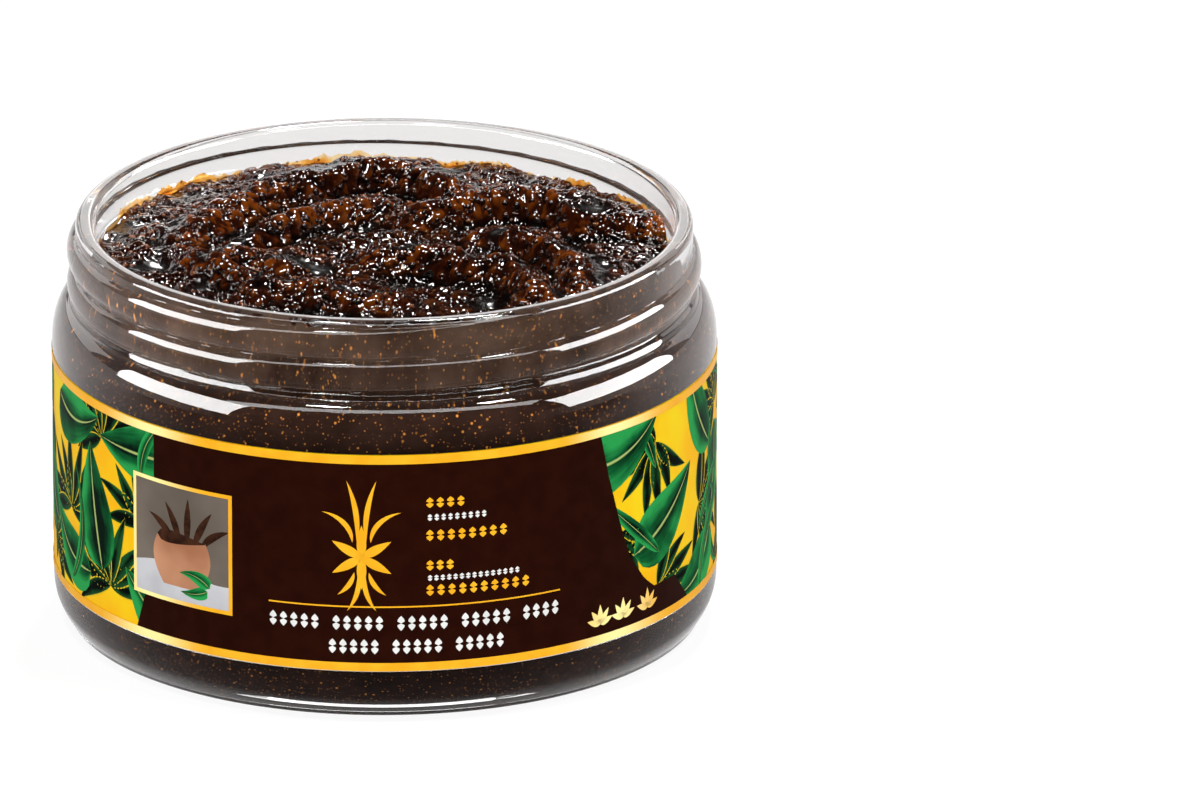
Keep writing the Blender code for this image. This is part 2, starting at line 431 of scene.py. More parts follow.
def smooth(share):
    share = min(1.0, max(0.0, share))
    return share * share * (3.0 - 2.0 * share)


def foldAt(x, y, fold):  # a fold's height at a place, and how far the place is its wet back
    s = pasteShape
    centreX, centreY, radius, first, last, height = fold
    away = math.hypot(x - centreX, y - centreY) - radius
    angle = math.degrees(math.atan2(y - centreY, x - centreX))
    turned = abs((angle - (first + last) / 2 + 180.0) % 360.0 - 180.0)
    share = smooth(((last - first) / 2 - turned) / s["foldFade"] + 0.5)
    crest = math.exp(-((away / (s["foldFace"] if away < 0 else s["foldBack"])) ** 2))
    trough = math.exp(-(((away + s["troughOffset"]) / s["troughWidth"]) ** 2))
    wet = math.exp(-(((away - s["wetOffset"]) / s["wetWidth"]) ** 2))
    return share * height * (crest - s["troughShare"] * trough), share * wet


def pasteAt(x, y, fillRadius):  # the surface's height without its lumps, its wetness, and how deep it lies in a hollow, which sets the painted shade there
    s = pasteShape
    size, reach = s["sway"]
    sway = Vector((x, y, 0.0)) / size
    bentX = x + reach * noise.noise(sway)
    bentY = y + reach * noise.noise(sway + Vector((7.3, 1.9, 4.1)))
    climb = s["climb"] * (math.hypot(x, y) / fillRadius) ** 4
    parts = [foldAt(bentX, bentY, fold) for fold in folds]
    relief = s["foldShare"] * sum(height for height, wet in parts)
    size, reach = s["bumps"]
    bumps = reach * noise.noise(Vector((x, y, 11.0)) / size)
    size, reach = s["crags"]
    crags = reach * (1.0 - 2.0 * abs(noise.noise(Vector((x, y, 23.0)) / size)))
    height = s["level"] + climb + relief + bumps + crags
    spare = (s["ceiling"] - height) / s["softness"]
    height = s["ceiling"] - s["softness"] * math.log1p(math.exp(min(spare, 40.0)))
    return height, max(wet for rise, wet in parts), smooth(0.62 - 0.85 * relief)


def coarseness(place, upright, wet):  # 1 where the paste is coarse, 0 where it lies smooth and wet
    patches = noise.noise(Vector((place.x, place.y, 41.0)) / 4.5)
    return smooth(1.0 + 1.3 * patches - 0.9 * wet + 2.0 * (1.0 - upright))


def pasteOutline():  # the jar's inside, and a little more, from the shoulder down
    s = jarShape
    into = pasteShape["intoWall"]
    shoulderFoot = rimHeight - s["shoulderFoot"]
    innerTop = rimHeight - s["shoulderTop"] - s["neckWall"] / 2
    inner = s["neckRadius"] - s["neckWall"] + into
    innerBody = bodyRadius - s["wall"] + into
    heelIn = s["innerHeelWidth"]
    heelTop = s["innerHeelTop"]
    low = s["floor"] - into
    return [
        (inner, pasteShape["level"]), (inner, innerTop),
        *arc(inner, shoulderFoot, innerBody - inner, innerTop - shoulderFoot, 72, 0, 10),
        *arc(innerBody - heelIn, heelTop, heelIn, heelTop - low, 0, -90, 10),
    ]


def makePasteBody():  # what shows through the wall, up to the surface's own edge
    s = pasteShape
    outline = pasteOutline()
    inner = outline[0][0]
    cap = s["level"] - s["skirt"] + 0.4  # a hidden lid inside the surface's own skirt
    lid = [(0.0, cap), (inner - 1.0, cap), (inner - 0.2, cap + 0.3)]
    piece = lathe([*lid, *outline, (0.0, outline[-1][1])], 512)
    for vertex in piece.data.vertices:
        x, y, z = vertex.co / mm
        if z > s["level"] - 0.001:
            top = pasteAt(x, y, inner)[0] + 0.1
            ragged = sum(reach * noise.noise(Vector((x, y, 5.0)) / size) for size, reach in s["smearRagged"])
            # a smear climbs the wall towards the front
            front = smooth((-y / inner - s["smearStart"] + ragged) / s["smearRun"])
            smearTop = s["smearTop"] - s["smearDrop"] * abs(ragged)
            vertex.co.z = (top + front * (smearTop - top)) * mm
    return piece


def makePasteTop():
    s = pasteShape
    fillRadius = pasteOutline()[0][0] - s["rimGap"]
    deselectAll()
    bpy.ops.mesh.primitive_grid_add(x_subdivisions=s["cells"], y_subdivisions=s["cells"], size=2.0)
    piece = bpy.context.object
    wetness, depth = [], []
    for vertex in piece.data.vertices:  # the square grid is pressed into a disc
        u, v = vertex.co.x, vertex.co.y
        x = fillRadius * u * math.sqrt(1.0 - v * v / 2.0)
        y = fillRadius * v * math.sqrt(1.0 - u * u / 2.0)
        height, wet, deep = pasteAt(x, y, fillRadius)
        vertex.co = (x, y, height)
        wetness.append(wet)
        depth.append(deep)
    vertices = piece.data.vertices
    rough = [coarseness(vertex.co, vertex.normal.z, wet) for vertex, wet in zip(vertices, wetness)]
    raised = [lumpHeight(vertex.co, share) for vertex, share in zip(vertices, rough)]
    normals = [vertex.normal.copy() for vertex in vertices]
    for vertex, normal, lift in zip(vertices, normals, raised):
        place = vertex.co + normal * lift
        wide = math.hypot(place.x, place.y)
        if wide > fillRadius or math.hypot(vertex.co.x, vertex.co.y) > fillRadius - 0.001:
            place.x *= fillRadius / wide
            place.y *= fillRadius / wide
        vertex.co = place * mm
    for name, values in (("lump", raised), ("coarse", rough), ("deep", depth)):
        piece.data.attributes.new(name, "FLOAT", "POINT").data.foreach_set("value", values)
    edit(piece)
    bpy.ops.mesh.select_mode(type="EDGE")
    bpy.ops.mesh.select_all(action="DESELECT")
    bpy.ops.mesh.select_non_manifold()
    bpy.ops.mesh.extrude_edges_move()
    low = Vector((0.0, 0.0, (s["level"] - s["skirt"]) * mm))
    bpy.ops.transform.resize(value=(1, 1, 0), center_override=low)
    bpy.ops.mesh.edge_face_add()
    bpy.ops.mesh.select_mode(type="VERT")
    bpy.ops.object.mode_set(mode="OBJECT")
    bpy.ops.object.shade_smooth_by_angle(angle=math.radians(80))
    return piece


def lumpHeight(place, rough):
    # cells of three sizes in space, each a low dome with a ragged edge
    bent = place + 0.22 * noise.noise_vector(place / 0.8)
    total = 0.0
    for size, height in pasteShape["lumps"]:
        away = noise.voronoi(bent / size)[0][0]
        total += height * max(0.0, 1.0 - (1.3 * away) ** 2) ** 0.55
    wrinkles = 0.09 * noise.noise(Vector((place.x / 2.4, place.y / 0.35, place.z)))
    return rough * total + (1.0 - rough) * wrinkles


def addGrains(top):
    # small round grains half sunk in the paste, in a dark piece and an amber one
    s = grainShape
    draw = random.Random(s["seed"])
    deselectAll()
    bpy.ops.mesh.primitive_ico_sphere_add(subdivisions=2, radius=1.0)
    seed = bpy.context.object
    count = pasteShape["cells"] ** 2
    placed = {"darkGrains": [], "amberGrains": []}
    vertices = top.data.vertices
    rough = top.data.attributes["coarse"].data
    deep = top.data.attributes["deep"].data
    for grain in range(s["tries"]):
        vertex = vertices[draw.randrange(count)]
        kind = "amberGrains" if draw.random() < s["amberShare"] else "darkGrains"
        radius = draw.uniform(*s["radius"]) * mm
        keep = draw.random() < rough[vertex.index].value * min(1.0, 0.45 / max(0.1, vertex.normal.z))
        sunk = deep[vertex.index].value > draw.uniform(0.3, 1.0)
        if keep and not sunk and vertex.normal.z > 0.05 and vertex.co.xy.length < s["reach"] * mm:
            placed[kind].append((vertex.co - vertex.normal * radius * s["sink"], radius))
    pieces = []
    for kind, spots in placed.items():
        pieces.append(scatter(seed, kind, spots, draw))
    bpy.data.objects.remove(seed)
    return pieces


def scatter(seed, name, spots, draw):  # one mesh that holds a copy of the seed on each spot
    shape = [vertex.co.copy() for vertex in seed.data.vertices]
    faces = [tuple(face.vertices) for face in seed.data.polygons]
    points = []
    allFaces = []
    for centre, radius in spots:
        first = len(points)
        squash = Vector((draw.uniform(0.8, 1.1), draw.uniform(0.8, 1.1), draw.uniform(0.7, 1.0)))
        points += [centre + radius * corner * squash for corner in shape]
        allFaces += [tuple(first + corner for corner in face) for face in faces]
    mesh = bpy.data.meshes.new(name)
    mesh.from_pydata(points, [], allFaces)
    mesh.shade_smooth()
    piece = bpy.data.objects.new(name, mesh)
    bpy.context.collection.objects.link(piece)
    return piece


filmShape = {
    "foot": 0.6,  # below the paste's level
    "tall": 3.0,  # of the strip before its top is made ragged
    "proud": 0.04,  # how far it stands off the wall, and reaches into it
    "sunk": 0.03,
    "climb": 0.75,  # how far it reaches above the paste
    "waves": ((3.0, 5.0, 0.9), (9.0, 1.3, 0.55), (15.0, 0.4, 0.3)),  # place in the noise, size, height
    "turnSteps": 900,
}


def makeFilm():
    # the thin smear that the paste leaves on the wall above its level
    s = filmShape
    inner = jarShape["neckRadius"] - jarShape["neckWall"]
    low = pasteShape["level"] - s["foot"]
    tall = s["tall"]
    face, back = inner - s["proud"], inner + s["sunk"]
    strip = [(face, low), *straight((face, low), (face, low + tall), 8), (face, low + tall),
             (back, low + tall), *straight((back, low + tall), (back, low), 8), (back, low), (face, low)]
    piece = lathe(strip, s["turnSteps"])
    shares = []
    for vertex in piece.data.vertices:
        x, y, z = vertex.co / mm
        top = pasteAt(x, y, inner)[0] + s["climb"]
        for layer, size, reach in s["waves"]:
            top += reach * noise.noise(Vector((x, y, layer)) / size)
        share = (z - low) / tall
        shares.append(share)
        vertex.co.z = (low + share * (top - low)) * mm
    piece.data.attributes.new("rise", "FLOAT", "POINT").data.foreach_set("value", shares)
    activate(piece)
    bpy.ops.object.shade_smooth_by_angle(angle=math.radians(60))
    return piece


def wetPaste():
    f = Finish("wet vanilla paste")
    place = f.place()
    lump = f.attribute("lump")
    coarse = f.attribute("coarse")
    deep = f.attribute("deep")
    tone = f.noise(place, 420.0, 4.0, 0.6)
    blotch = f.noise(place, 110.0, 2.0)
    # the tone varies at random, and is darker down between the lumps, a painted shade, and amber on their
    # tops, a painted glow of light through them
    body = f.ramp(lump * 0.75 + tone * 0.5 + blotch * 0.3, (0.46, (0.0008, 0.0002, 0.0001)),
                  (0.66, (0.0080, 0.0012, 0.0003)), (0.84, (0.030, 0.0046, 0.0006)),
                  (1.0, (0.125, 0.0270, 0.0022)))
    # a painted glow: the thin edge against the wall is painted amber, as if light shone through it
    thin = f.step(f.fromAxis(place) + tone * 0.0012, 0.0308, 0.0322)
    body = f.mix(thin * 0.8, body, (0.24, 0.055, 0.004))
    # painted shade: the hollows between the folds are painted near black
    body = f.mix(deep * 0.95, body, (0.0006, 0.0002, 0.0001))
    body = f.mix(coarse, (0.0040, 0.0018, 0.0014), body)
    f.set(Base_Color=body, Roughness=0.24 - 0.18 * coarse + tone * 0.04, Specular_IOR_Level=0.5)
    return f


# Heights in metres between which the paste's colour behind the wall changes
wallBands = {
    "shoulder": (0.0290, 0.0325),
    "neck": (0.0350, 0.0385),
    "specks": (0.008, 0.032),
}


def pasteAtWall():
    f = Finish("paste against the wall")
    place = f.place()
    tone = f.noise(place, 260.0, 4.0, 0.6)
    cloud = f.noise(place, 90.0, 4.0, 0.65)
    height = f.part(place, 2)
    ground = f.ramp(tone, (0.3, (0.007, 0.0024, 0.0013)), (0.75, (0.024, 0.0095, 0.0055)))
    middle = f.ramp(tone, (0.3, (0.016, 0.0075, 0.0050)), (0.75, (0.036, 0.0180, 0.0125)))
    pale = f.ramp(cloud, (0.35, (0.020, 0.0100, 0.0062)), (0.8, (0.120, 0.0740, 0.0520)))
    body = f.mix(f.step(height, *wallBands["shoulder"]), ground, middle)
    body = f.mix(f.step(height, *wallBands["neck"]), body, pale)
    clear = 0.6 + 0.4 * f.step(height, *wallBands["specks"])  # specks are fainter low down
    for scale, share in ((1250.0, 0.45), (1800.0, 0.3), (2700.0, 0.3)):
        away = f.cells(place, scale)
        tint = f.cells(place, scale, "Color")
        pick = f.node("ShaderNodeSeparateColor", None, {0: tint}, 0)
        bright = f.node("ShaderNodeSeparateColor", None, {0: tint}, 1)
        speck = (1 - f.step(away, 0.09, 0.23)) * f.step(pick, share, 0.9) * (0.10 + 0.90 * bright)
        body = f.mix(speck * clear, body, (0.90, 0.34, 0.055))
    f.set(Base_Color=body, Roughness=0.4 + tone * 0.1, Specular_IOR_Level=0.0)
    return f


def wetGrains(name, low, high):
    f = Finish(name)
    place = f.place()
    tone = f.noise(place, 700.0, 2.0)
    f.set(Base_Color=f.mix(f.step(tone, 0.35, 0.65), low, high), Roughness=0.06 + tone * 0.06,
          Specular_IOR_Level=0.5)
    return f


def amberFilm():
    f = Finish("thin amber smear")
    place = f.place()
    tone = f.noise(place, 500.0, 3.0)
    blotch = f.noise(place, 160.0, 2.0)
    rise = f.attribute("rise") + (tone - 0.5) * 1.2 + (blotch - 0.5) * 0.8
    colour = f.ramp(rise, (0.2, (0.14, 0.016, 0.001)), (0.5, (0.58, 0.15, 0.008)),
                    (0.8, (0.92, 0.44, 0.08)), (1.0, (1.0, 0.76, 0.42)))
    speck = 1 - f.step(f.cells(place, 1300.0), 0.16, 0.26)
    f.set(Base_Color=f.mix(speck * 0.9, colour, (0.12, 0.014, 0.001)), Roughness=0.2 + tone * 0.2, IOR=1.1,
          Transmission_Weight=1.0)
    return f


# The label

labelShape = {
    "radius": 36.25,  # of the print's ground, and how far the layers of print stand off it:
    "fans": 0.006,
    "leaves": 0.022,
    "leafStack": 0.0022,  # from one leaf to the next above it
    "field": 0.046,
    "picture": 0.053,
    "gold": 0.056,
    "frame": 0.068,
    "border": 0.074,
    "ink": 0.003,
    "borderInset": 0.04,
    "borderWidth": 0.95,
    "printInset": 0.6,  # the print ends under the gold borders
    "turnSteps": 288,
    "leafSeed": 4,
    "leafColumns": 6,
    "leafRows": 3,
    "firstLeaf": (28.0, 10.0),  # place along the label from its middle, and height
    "leafStep": 8.0,
    "leafSway": 1.5,
}

labelFoot = labelLow.z / mm
labelTop = labelHigh.z / mm
printFoot = labelFoot + labelShape["printInset"]
printTop = labelTop - labelShape["printInset"]

# The brown field's edges, as height and place along the label from its middle; its foot is wider
leftEdge = ((7.0, -30.0), (11.3, -28.6), (22.0, -27.2), (31.0, -27.2))
rightEdge = ((10.5, 34.3), (11.9, 32.5), (15.2, 30.0), (19.8, 28.4), (25.0, 26.9), (31.0, 25.5))
footEdge = ((7.0, 41.5), (7.9, 40.7), (10.6, 38.3))


def along(points, height):  # the place between listed points
    for (low, first), (high, last) in zip(points, points[1:]):
        if height <= high:
            return first + (last - first) * (height - low) / (high - low)
    return points[-1][1]


def patch(columns, rows, level, shape):
    # a grid whose cells' places from 0 to 1 are turned by shape into places on the label, and wrapped
    deselectAll()
    bpy.ops.mesh.primitive_grid_add(x_subdivisions=columns, y_subdivisions=rows, size=1.0, calc_uvs=True)
    piece = bpy.context.object
    radius = labelShape["radius"] + level
    for vertex in piece.data.vertices:
        across, height = shape(vertex.co.x + 0.5, vertex.co.y + 0.5)
        angle = across / radius - math.pi / 2
        vertex.co = Vector((radius * math.cos(angle), radius * math.sin(angle), height)) * mm
    return piece


def block(left, right, low, high, level, columns=None):
    columns = columns or max(2, int((right - left) / 0.9) + 1)
    return patch(columns, 2, level, lambda u, v: (left + (right - left) * u, low + (high - low) * v))


def blade(s, z, turn, length, width, level, bend=0.0, columns=12, rows=4, fullness=0.5):
    # a leaf from its stalk at s, z, that points along turn and curves by bend
    def shape(u, v):
        heading = math.radians(turn + bend * (u - 0.5))
        half = width * math.sin(math.pi * u ** fullness) ** 0.9 * (v - 0.5)
        spine = Vector((math.cos(heading), math.sin(heading))) * length * u
        side = Vector((-math.sin(heading), math.cos(heading))) * half
        return s + spine.x + side.x, z + spine.y + side.y
    return patch(columns, rows, level, shape)


def joinPrint(parts):
    piece = joinAll(parts)
    edit(piece)
    bpy.ops.mesh.bisect(plane_co=(0, 0, printTop * mm), plane_no=(0, 0, 1), clear_outer=True)
    bpy.ops.mesh.select_all(action="SELECT")
    bpy.ops.mesh.bisect(plane_co=(0, 0, printFoot * mm), plane_no=(0, 0, 1), clear_inner=True)
    bpy.ops.object.mode_set(mode="OBJECT")
    return thicken(piece)


def thicken(piece):
    activate(piece)
    bpy.ops.object.modifier_add(type="SOLIDIFY")
    piece.modifiers[-1].thickness = labelShape["ink"] * mm
    piece.modifiers[-1].offset = 0.0
    bpy.ops.object.modifier_apply(modifier=piece.modifiers[-1].name)
    return piece


def makeGround():
    radius = labelShape["radius"]
    inside = bodyRadius - jarShape["panelRecess"] + 0.01
    return lathe([(inside, labelFoot), (radius, labelFoot), (radius, labelTop), (inside, labelTop),
                  (inside, labelFoot)], labelShape["turnSteps"])


def makeFields():
    level = labelShape["field"]

    def front(low, high, edge):
        def shape(u, v):
            height = low + (high - low) * v
            left, right = along(leftEdge, height), along(edge, height)
            return left + (right - left) * u, height
        return shape

    behind = math.pi * labelShape["radius"]
    back = block(behind - 38.0, behind + 38.0, printFoot, printTop, level)
    foot = patch(120, 8, level, front(printFoot, 10.55, footEdge))
    return joinPrint([patch(120, 36, level, front(10.5, printTop, rightEdge)), foot, back])


def makeBorders():
    level = labelShape["radius"] + labelShape["border"]
    rings = []
    inset, width = labelShape["borderInset"], labelShape["borderWidth"]
    for low in (labelFoot + inset, labelTop - inset - width):
        high = low + width
        rings.append(lathe([(level - 0.02, low), (level, low), (level, high), (level - 0.02, high),
                            (level - 0.02, low)], labelShape["turnSteps"]))
    return joinAll(rings)


def makeLeaves():
    # broad and slender leaves over dark fans, on both sides of the front field
    s = labelShape
    draw = random.Random(s["leafSeed"])
    firstAcross, firstHeight = s["firstLeaf"]
    sway, step = s["leafSway"], s["leafStep"]
    broad, fans = [], []
    for side in (-1, 1):
        for column in range(s["leafColumns"]):
            for row in range(s["leafRows"]):
                index = column * s["leafRows"] + row
                across = side * (firstAcross + step * column + draw.uniform(-sway, sway))
                height = firstHeight + step * row + draw.uniform(-sway, sway)
                turn = draw.uniform(0, 360)
                level = s["leaves"] + s["leafStack"] * ((2 * index) % 8)
                if (column + row) % 2:
                    fan(fans, across, height, turn, draw, s["fans"] + 0.0016 * (index % 4))
                else:
                    stalk = Vector((across, height)) - 5.0 * Vector((math.cos(math.radians(turn)),
                                                                     math.sin(math.radians(turn))))
                    broad.append(blade(*stalk, turn, draw.uniform(11.0, 14.5), draw.uniform(5.6, 7.4), level,
                                       draw.uniform(-40, 40), 16, 10, 0.62))
                if draw.random() < 0.45:
                    broad.append(blade(across, height - 3.0, draw.uniform(40, 140), draw.uniform(10, 14),
                                       1.7, level + s["leafStack"], draw.uniform(-60, 60), 16, 4, 0.7))
    return joinPrint(broad), joinPrint(fans)


def fan(parts, across, height, turn, draw, level):
    for finger in range(9):
        swing = turn + (finger - 4) * 24.0 + draw.uniform(-4, 4)
        length = 8.8 - 0.12 * (finger - 4) ** 2 + draw.uniform(-1.0, 1.0)
        parts.append(blade(across, height, swing, length, 2.1, level + 0.0004 * finger,
                           draw.uniform(-20, 20), 12, 6, 0.8))


# The gold frame round the picture, as places along the label from its middle and heights
pictureFrame = {
    "left": -30.4,
    "right": -16.8,
    "low": 11.2,
    "high": 25.0,
    "width": 0.45,
}


def clothShape(u, v):
    return -30.0 + 12.8 * u, 11.6 + (3.4 + 0.7 * math.sin(5 * u)) * v


def makeStillLife():
    # a bowl with pods on a pale cloth, in a gold frame at the left of the front field
    level = labelShape["picture"]
    ground = block(-30.1, -17.1, 11.5, 24.8, level, 20)
    cloth = patch(20, 4, level + 0.0035, clothShape)
    bowl = patch(20, 12, level + 0.0085, bowlShape)
    pods = [blade(-24.4 + 0.9 * pod, 18.0, 128 - 20 * pod, 5.6 - 0.5 * abs(pod - 2), 0.9,
                  level + 0.0045 + 0.0008 * pod, 24 - 12 * pod, 14, 2, 0.9) for pod in range(5)]
    pods.append(blade(-26.7, 18.75, 0, 6.6, 1.5, level + 0.0105, 0, 14, 4))  # the bowl's dark opening
    leaves = [blade(-19.6, 13.8, 150, 4.2, 1.7, level + 0.0125, 30, 10, 4),
              blade(-19.9, 13.4, 200, 3.6, 1.5, level + 0.0115, -20, 10, 4)]
    return joinPrint([ground]), joinPrint([cloth]), joinPrint([bowl]), joinPrint(pods), joinPrint(leaves)


def bowlShape(u, v):
    half = 3.9 * (0.4 + 0.6 * math.sin(math.pi * min(1.0, 0.12 + 0.62 * v)))
    return -23.4 + (2.0 * u - 1.0) * half, 13.2 + 5.6 * v


def makeCrest(middle):
    # a blossom with pods above and below it, the same on both sides
    parts = []
    level = labelShape["gold"]
    for petal in range(6):
        parts.append(blade(middle, 19.3, 30 + 60 * petal, 3.7, 1.05, level, 0, 10, 4, 0.75))
    above = level + 0.003
    for side in (-1, 1):
        for spray in range(2):
            turn = 90 - side * (2 + 20 * spray)
            parts.append(blade(middle + side * (0.5 + 0.5 * spray), 21.0, turn, 7.2 - 2.4 * spray, 0.6,
                               above, -side * (14 + 30 * spray), 14, 2, 0.9))
            parts.append(blade(middle + side * (0.4 + 0.4 * spray), 17.6, -turn, 4.6 - 1.4 * spray, 0.55,
                               above, side * 26, 14, 2, 0.9))
    return parts


def lozenge(s, low, high, wide, level):
    middle = (low + high) / 2
    return [blade(s, middle, 90 + turn, (high - low) / 2, wide, level, 0, 4, 2, 0.6) for turn in (0, 180)]


def lozengeRow(low, high, left, right, wide, level, gap=6):  # every so many, one is left out
    parts = []
    count = round((right - left) / (wide * 1.45))
    for index in range(count + 1):
        if gap and index % gap == gap - 1:
            continue
        parts += lozenge(left + index * (right - left) / count, low, high, wide, level)
    return parts


# Rows of lozenges beside the crest: foot, top, first and last place, width of one
goldRows = ((24.9, 26.1, 5.2, 8.6, 0.8), (21.1, 22.4, 5.2, 13.4, 0.8), (17.7, 18.9, 5.2, 7.4, 0.8),
            (14.8, 16.1, 5.2, 16.0, 0.8))
paleRows = ((23.4, 24.2, 5.2, 11.2, 0.5), (16.5, 17.2, 5.2, 15.0, 0.5))


def makeFrame():
    p = pictureFrame
    level, width = labelShape["frame"], p["width"]
    rails = [block(p["left"], p["right"], low, low + width, level, 20)
             for low in (p["low"], p["high"] - width)]
    posts = [block(left, left + width, p["low"] + width, p["high"] - width, level)
             for left in (p["left"], p["right"] - width)]
    return rails + posts


def makeGoldPrint():
    s = labelShape
    level = s["gold"]
    back = math.pi * s["radius"]
    parts = makeCrest(-2.2)
    for row in goldRows:
        parts += lozengeRow(*row, level, 0)
    parts.append(block(-12.5, 20.2, 13.55, 13.72, level))
    parts.append(block(back - 16.0, back + 16.0, 12.0, 12.17, level))
    parts += makeFrame()
    for middle in (25.6, 29.0, 33.0):  # three small sprigs in the lower right corner
        for leaf in range(5):
            length = 2.3 - 0.2 * abs(leaf - 2)
            parts.append(blade(middle, 8.4, 20 + 35 * leaf, length, 0.75, level, 0, 6, 2, 0.7))
    return joinPrint(parts)


def makeWhitePrint():
    level = labelShape["gold"]
    parts = lozengeRow(10.9, 12.6, -12.0, 19.6, 0.8, level) + lozengeRow(8.2, 9.9, -5.4, 13.0, 0.8, level)
    for row in paleRows:
        parts += lozengeRow(*row, level, 0)
    return joinPrint(parts)


def printFinish(name, low, high, scale=500.0):
    f = Finish(name)
    tone = f.noise(f.place(), scale, 3.0)
    f.set(Base_Color=f.mix(f.step(tone, 0.3, 0.7), low, high), Roughness=0.4 + tone * 0.08,
          Specular_IOR_Level=0.04)
    return f


def goldFoil():
    f = Finish("gold print")
    place = f.place()
    # a painted highlight: a bright band on each side where the side lamps shine on the foil, its place in
    # metres from the label's middle
    off = f.math("ABSOLUTE", f.math("ABSOLUTE", f.part(place, 0)) - 0.0252)
    paintedHighlight = 1 - f.step(off, 0.0, 0.006)
    tone = f.noise(place, 300.0, 3.0)
    base = f.mix(f.step(tone, 0.3, 0.7), (0.78, 0.34, 0.004), (0.82, 0.42, 0.012))
    f.set(Base_Color=f.mix(paintedHighlight, base, (0.95, 0.80, 0.32)), Roughness=0.3 + tone * 0.1,
          Specular_IOR_Level=0.2)
    return f


def broadLeafPrint():
    f = Finish("broad green leaf")
    place = f.place()
    uv = f.node("ShaderNodeTexCoord", output="UV")
    u = f.part(uv, 0)
    v = f.part(uv, 1)
    side = f.math("ABSOLUTE", v - 0.5)
    tone = f.noise(place, 180.0, 3.0)
    streak = f.noise(f.node("ShaderNodeCombineXYZ", None, {0: u * 3, 1: v * 14, 2: tone}), 1.0, 2.0)
    shade = side * 1.5 + (v - 0.5) * 0.45 + (tone - 0.5) * 1.3 + (streak - 0.5) * 0.5
    green = f.ramp(shade, (0.0, (0.0006, 0.008, 0.004)), (0.35, (0.0028, 0.090, 0.022)),
                   (0.75, (0.018, 0.28, 0.062)))
    rib = 1 - f.step(side, 0.010, 0.035)
    f.set(Base_Color=f.mix(rib * 0.8, green, (0.40, 0.50, 0.16)), Roughness=0.38 + tone * 0.1,
          Specular_IOR_Level=0.02)
    return f


def fanLeafPrint():
    f = Finish("dark fan leaf")
    uv = f.node("ShaderNodeTexCoord", output="UV")
    side = f.math("ABSOLUTE", f.part(uv, 1) - 0.5)
    tone = f.noise(f.place(), 300.0, 2.0)
    dark = f.mix(f.step(tone + side, 0.55, 0.95), (0.0008, 0.003, 0.0015), (0.007, 0.065, 0.017))
    f.set(Base_Color=f.mix(f.step(side, 0.40, 0.46), dark, (0.62, 0.44, 0.012)), Roughness=0.4 + tone * 0.1,
          Specular_IOR_Level=0.02)
    return f


# The studio

studio = {
    "distance": 2.5,  # metres
    "rise": 20.0,
    "pixelsPerMetre": 9160.0,  # at the jar, on a picture 1200 pixels wide
    "pictureWidth": 1200.0,
    "aim": (23.5, 0.0, 24.2),  # millimetres
    "floorRadius": 1.25,
    "floorGlow": 0.93,
    "backdropRadius": 1.25,
    "backdropHeight": 0.26,
    "backdropGlow": 0.75,
    "surroundRadius": 4.0,
    "surroundGlow": 0.85,
    "mirroredFoot": (0.0355, 0.0395),  # radii of the bright ring round the foot
    "lampHeight": 0.03,  # the lights are placed from this height and aim at it
}

# What a light shines on: a collection of the pieces that stand for each node
receivers = {node: bpy.data.collections.new(node + " pieces") for node in ("jar", "label", "paste")}

# Each light: azimuth from the front, elevation, distance, width, height, brightness, what it shines on
softboxes = {
    "left softbox": (-78, 20, 1.0, 0.93, 0.46, 20.0, "jar"),
    "right softbox": (91, 20, 1.0, 1.0, 0.46, 20.0, "jar"),
    "left back softbox": (-142, 22, 1.0, 0.7, 0.35, 2.0, "jar"),
    "right back softbox": (150, 22, 1.0, 0.6, 0.35, 1.5, "jar"),
    "front band": (0, 50, 1.0, 2.1, 0.24, 7.0, "jar"),
    "left fill": (-50, 35, 1.0, 0.8, 0.50, 5.2, "label"),
    "right fill": (50, 35, 1.0, 0.8, 0.50, 5.2, "label"),
    "high back light": (165, 62, 1.0, 0.15, 0.15, 120.0, None),
    "high left light": (-35, 68, 1.0, 0.15, 0.15, 95.0, None),
    "high right light": (60, 60, 1.0, 0.13, 0.13, 85.0, None),
    "back strip": (180, 15, 1.2, 0.6, 0.44, 2.5, "jar"),
    "back glow": (180, 24, 1.3, 0.9, 0.25, 0.06, "paste"),
}


def aimAt(thing, target):
    thing.rotation_euler = (target - thing.location).to_track_quat("-Z", "Y").to_euler()


def softbox(name, azimuth, elevation, distance, width, height, brightness, receiver):
    turn, rise = math.radians(azimuth), math.radians(elevation)
    aside = math.cos(rise)
    place = Vector((math.sin(turn) * aside, -math.cos(turn) * aside, math.sin(rise))) * distance
    target = Vector((0, 0, studio["lampHeight"]))
    deselectAll()
    bpy.ops.object.light_add(type="AREA", location=place + target)
    light = bpy.context.object
    light.name = name
    light.data.shape = "RECTANGLE"
    light.data.size = width
    light.data.size_y = height
    light.data.energy = brightness * math.pi * width * height
    light.visible_camera = False
    if receiver:
        light.light_linking.receiver_collection = receivers[receiver]
    aimAt(light, target)


def disc(name, height, finish):
    deselectAll()
    bpy.ops.mesh.primitive_circle_add(vertices=128, radius=studio["floorRadius"], fill_type="NGON",
                                      location=(0, 0, height))
    floor = bpy.context.object
    floor.name = name
    edit(floor)
    bpy.ops.mesh.inset(thickness=0.02)
    bpy.ops.object.mode_set(mode="OBJECT")
    floor.data.materials.append(finish.material)
    return floor


def glowFinish(name, axis, dark, light, strength, ring=None, faint=0.03):
    # a glow that grows along an axis, and a bright ring round the foot
    f = Finish(name)
    place = f.place()
    share = f.step(f.part(place, "XYZ".index(axis)), dark, light)
    if ring:
        share = f.math("MAXIMUM", share, 1 - f.step(f.fromAxis(place), *ring))
    f.set(Base_Color=(0.0, 0.0, 0.0, 1.0), Roughness=1.0, Emission_Strength=strength,
          Emission_Color=f.mix(share, (faint, faint, faint), (1.0, 1.0, 1.0)))
    return f


